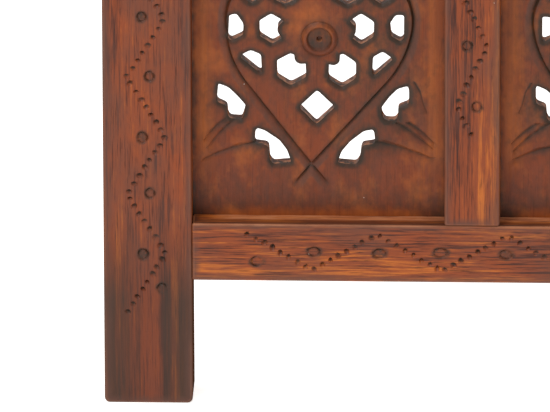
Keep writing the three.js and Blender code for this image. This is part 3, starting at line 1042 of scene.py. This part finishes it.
class SCREEN_OT_stiles(bpy.types.Operator):
    """Make the two stiles, which run down as feet, with a zigzag of gouge chips up each"""

    bl_idname = "screen.stiles"
    bl_label = "Stiles"

    def execute(self, context):
        sizes = context.scene.screen_frame
        for index, node in enumerate(("left_stile", "right_stile")):
            low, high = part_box(node)
            rng = random.Random(STILE_SEED + index)
            bm = eased_block(low, high, sizes, sizes.foot_corner)
            middle = (low.x + high.x) / 2 - 0.5 * MM
            limits = (low.z + PLAIN_END, high.z - PLAIN_END)
            bends = zigzag(low.z + 53.5 * MM, limits[1], -1, middle, sizes.stile_turn, sizes.swing)
            marks = zigzag_marks(bends, True, sizes, rng, 2.0 * MM, 0.7, limits)
            slipped = Vector((middle + 8.3 * MM, limits[0] + 14.2 * MM))
            ring = punched_ring(slipped, Vector((1, 1)), 0.1, sizes, rng, slant=0.6)
            wood = wood_of("stained_hardwood_upright", "Z", seed=2.0, figure_mm=24, contrast=1.5)
            finish_member(node, bm, sizes, with_slipped(marks, bends, ring), wood)
        return {"FINISHED"}


class SCREEN_OT_rails(bpy.types.Operator):
    """Make the bottom, cross and top rails with a zigzag of gouge chips along each"""

    bl_idname = "screen.rails"
    bl_label = "Rails"

    def execute(self, context):
        sizes = context.scene.screen_frame
        left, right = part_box("left_stile")[1].x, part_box("right_stile")[0].x
        for index, node in enumerate(RAILS):
            low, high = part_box(node)
            low.x, high.x = left + SHOULDER_GAP, right - SHOULDER_GAP
            rng = random.Random(RAIL_SEED + index)
            bm = eased_block(low, high, sizes, sizes.arris)
            middle = (low.z + high.z) / 2 + 0.5 * MM
            bends = zigzag(left + 30.2 * MM, right - 25 * MM, 1, middle, sizes.rail_turn, sizes.swing)
            limits = (bends[0][0], bends[-1][0])
            marks = zigzag_marks(bends, False, sizes, rng, 0.4 * MM, 0.6, limits)
            slipped = Vector((bends[0][0] + 5.3 * MM, middle - 5.5 * MM))
            ring = punched_ring(slipped, Vector((1.25, 0.92)), 0.15, sizes, rng, slant=0.35)
            wood = wood_of("stained_hardwood_crosswise", "X", seed=7.0, figure_mm=14, contrast=1.9)
            finish_member(node, bm, sizes, with_slipped(marks, bends, ring), wood)
        return {"FINISHED"}


class SCREEN_OT_muntins(bpy.types.Operator):
    """Make the short muntins that stand between the rails"""

    bl_idname = "screen.muntins"
    bl_label = "Muntins"

    def execute(self, context):
        sizes = context.scene.screen_frame
        for index, node in enumerate(MUNTINS):
            low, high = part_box(node)
            foot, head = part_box(RAILS[index])[1].z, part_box(RAILS[index + 1])[0].z
            low.z, high.z = foot + SHOULDER_GAP, head - SHOULDER_GAP
            rng = random.Random(MUNTIN_SEED + index)
            bm = eased_block(low, high, sizes, sizes.arris)
            middle = (low.x + high.x) / 2
            bends = zigzag(foot + 34.5 * MM, head - 34 * MM, 1, middle, sizes.muntin_turn, sizes.muntin_swing)
            limits = (foot + PLAIN_END, head - PLAIN_END)
            marks = zigzag_marks(bends, True, sizes, rng, 2.6 * MM, 0.5, limits)
            grain = {"seed": 2.0, "figure_mm": 24, "contrast": 1.5, "mirrored": True}
            finish_member(node, bm, sizes, marks, wood_of("stained_hardwood_muntin", "Z", **grain))
        return {"FINISHED"}


class SCREEN_OT_panels(bpy.types.Operator):
    """Make the pierced panels with their medallions, leaves and bosses"""

    bl_idname = "screen.panels"
    bl_label = "Pierced panels"

    def execute(self, context):
        for index, node in enumerate(PANELS):
            rng = random.Random(PANEL_SEED + index)
            bm = carved_panel(node, 1.0 if node.startswith("left") else -1.0, rng)
            grain = {"seed": 4.0, "figure_mm": 34, "contrast": 0.8, "deepened": 0.42}
            wood = wood_of("stained_carved_board", "Z", **grain)
            finish_piece(node, bm, wood, math.radians(32))
        return {"FINISHED"}


class SCREEN_PT_parts(bpy.types.Panel):
    """The pieces of the screen leaf"""

    bl_label = "Screen leaf"
    bl_idname = "SCREEN_PT_parts"
    bl_space_type = "VIEW_3D"
    bl_region_type = "UI"
    bl_category = "Screen"

    def draw(self, context):
        for operator in OPERATORS:
            self.layout.operator(operator.bl_idname)
        for group in SETTINGS:
            for name in SETTINGS[group].__annotations__:
                self.layout.prop(getattr(context.scene, group), name)


OPERATORS = [SCREEN_OT_stage, SCREEN_OT_stiles, SCREEN_OT_rails, SCREEN_OT_muntins, SCREEN_OT_panels]
SETTINGS = {
    "screen_frame": FrameCarving,
    "screen_panels": PanelCarving,
    "screen_colours": WoodColours,
    "screen_stage": StageSettings,
}


def register():
    for cls in [*SETTINGS.values(), *OPERATORS, SCREEN_PT_parts]:
        bpy.utils.register_class(cls)
    for name, cls in SETTINGS.items():
        setattr(bpy.types.Scene, name, bpy.props.PointerProperty(type=cls))


def unregister():
    for name in SETTINGS:
        delattr(bpy.types.Scene, name)
    for cls in reversed([*SETTINGS.values(), *OPERATORS, SCREEN_PT_parts]):
        bpy.utils.unregister_class(cls)


def main():
    register()
    bpy.ops.screen.stage()
    bpy.ops.screen.stiles()
    bpy.ops.screen.rails()
    bpy.ops.screen.muntins()
    bpy.ops.screen.panels()


if __name__ == "__main__":
    main()
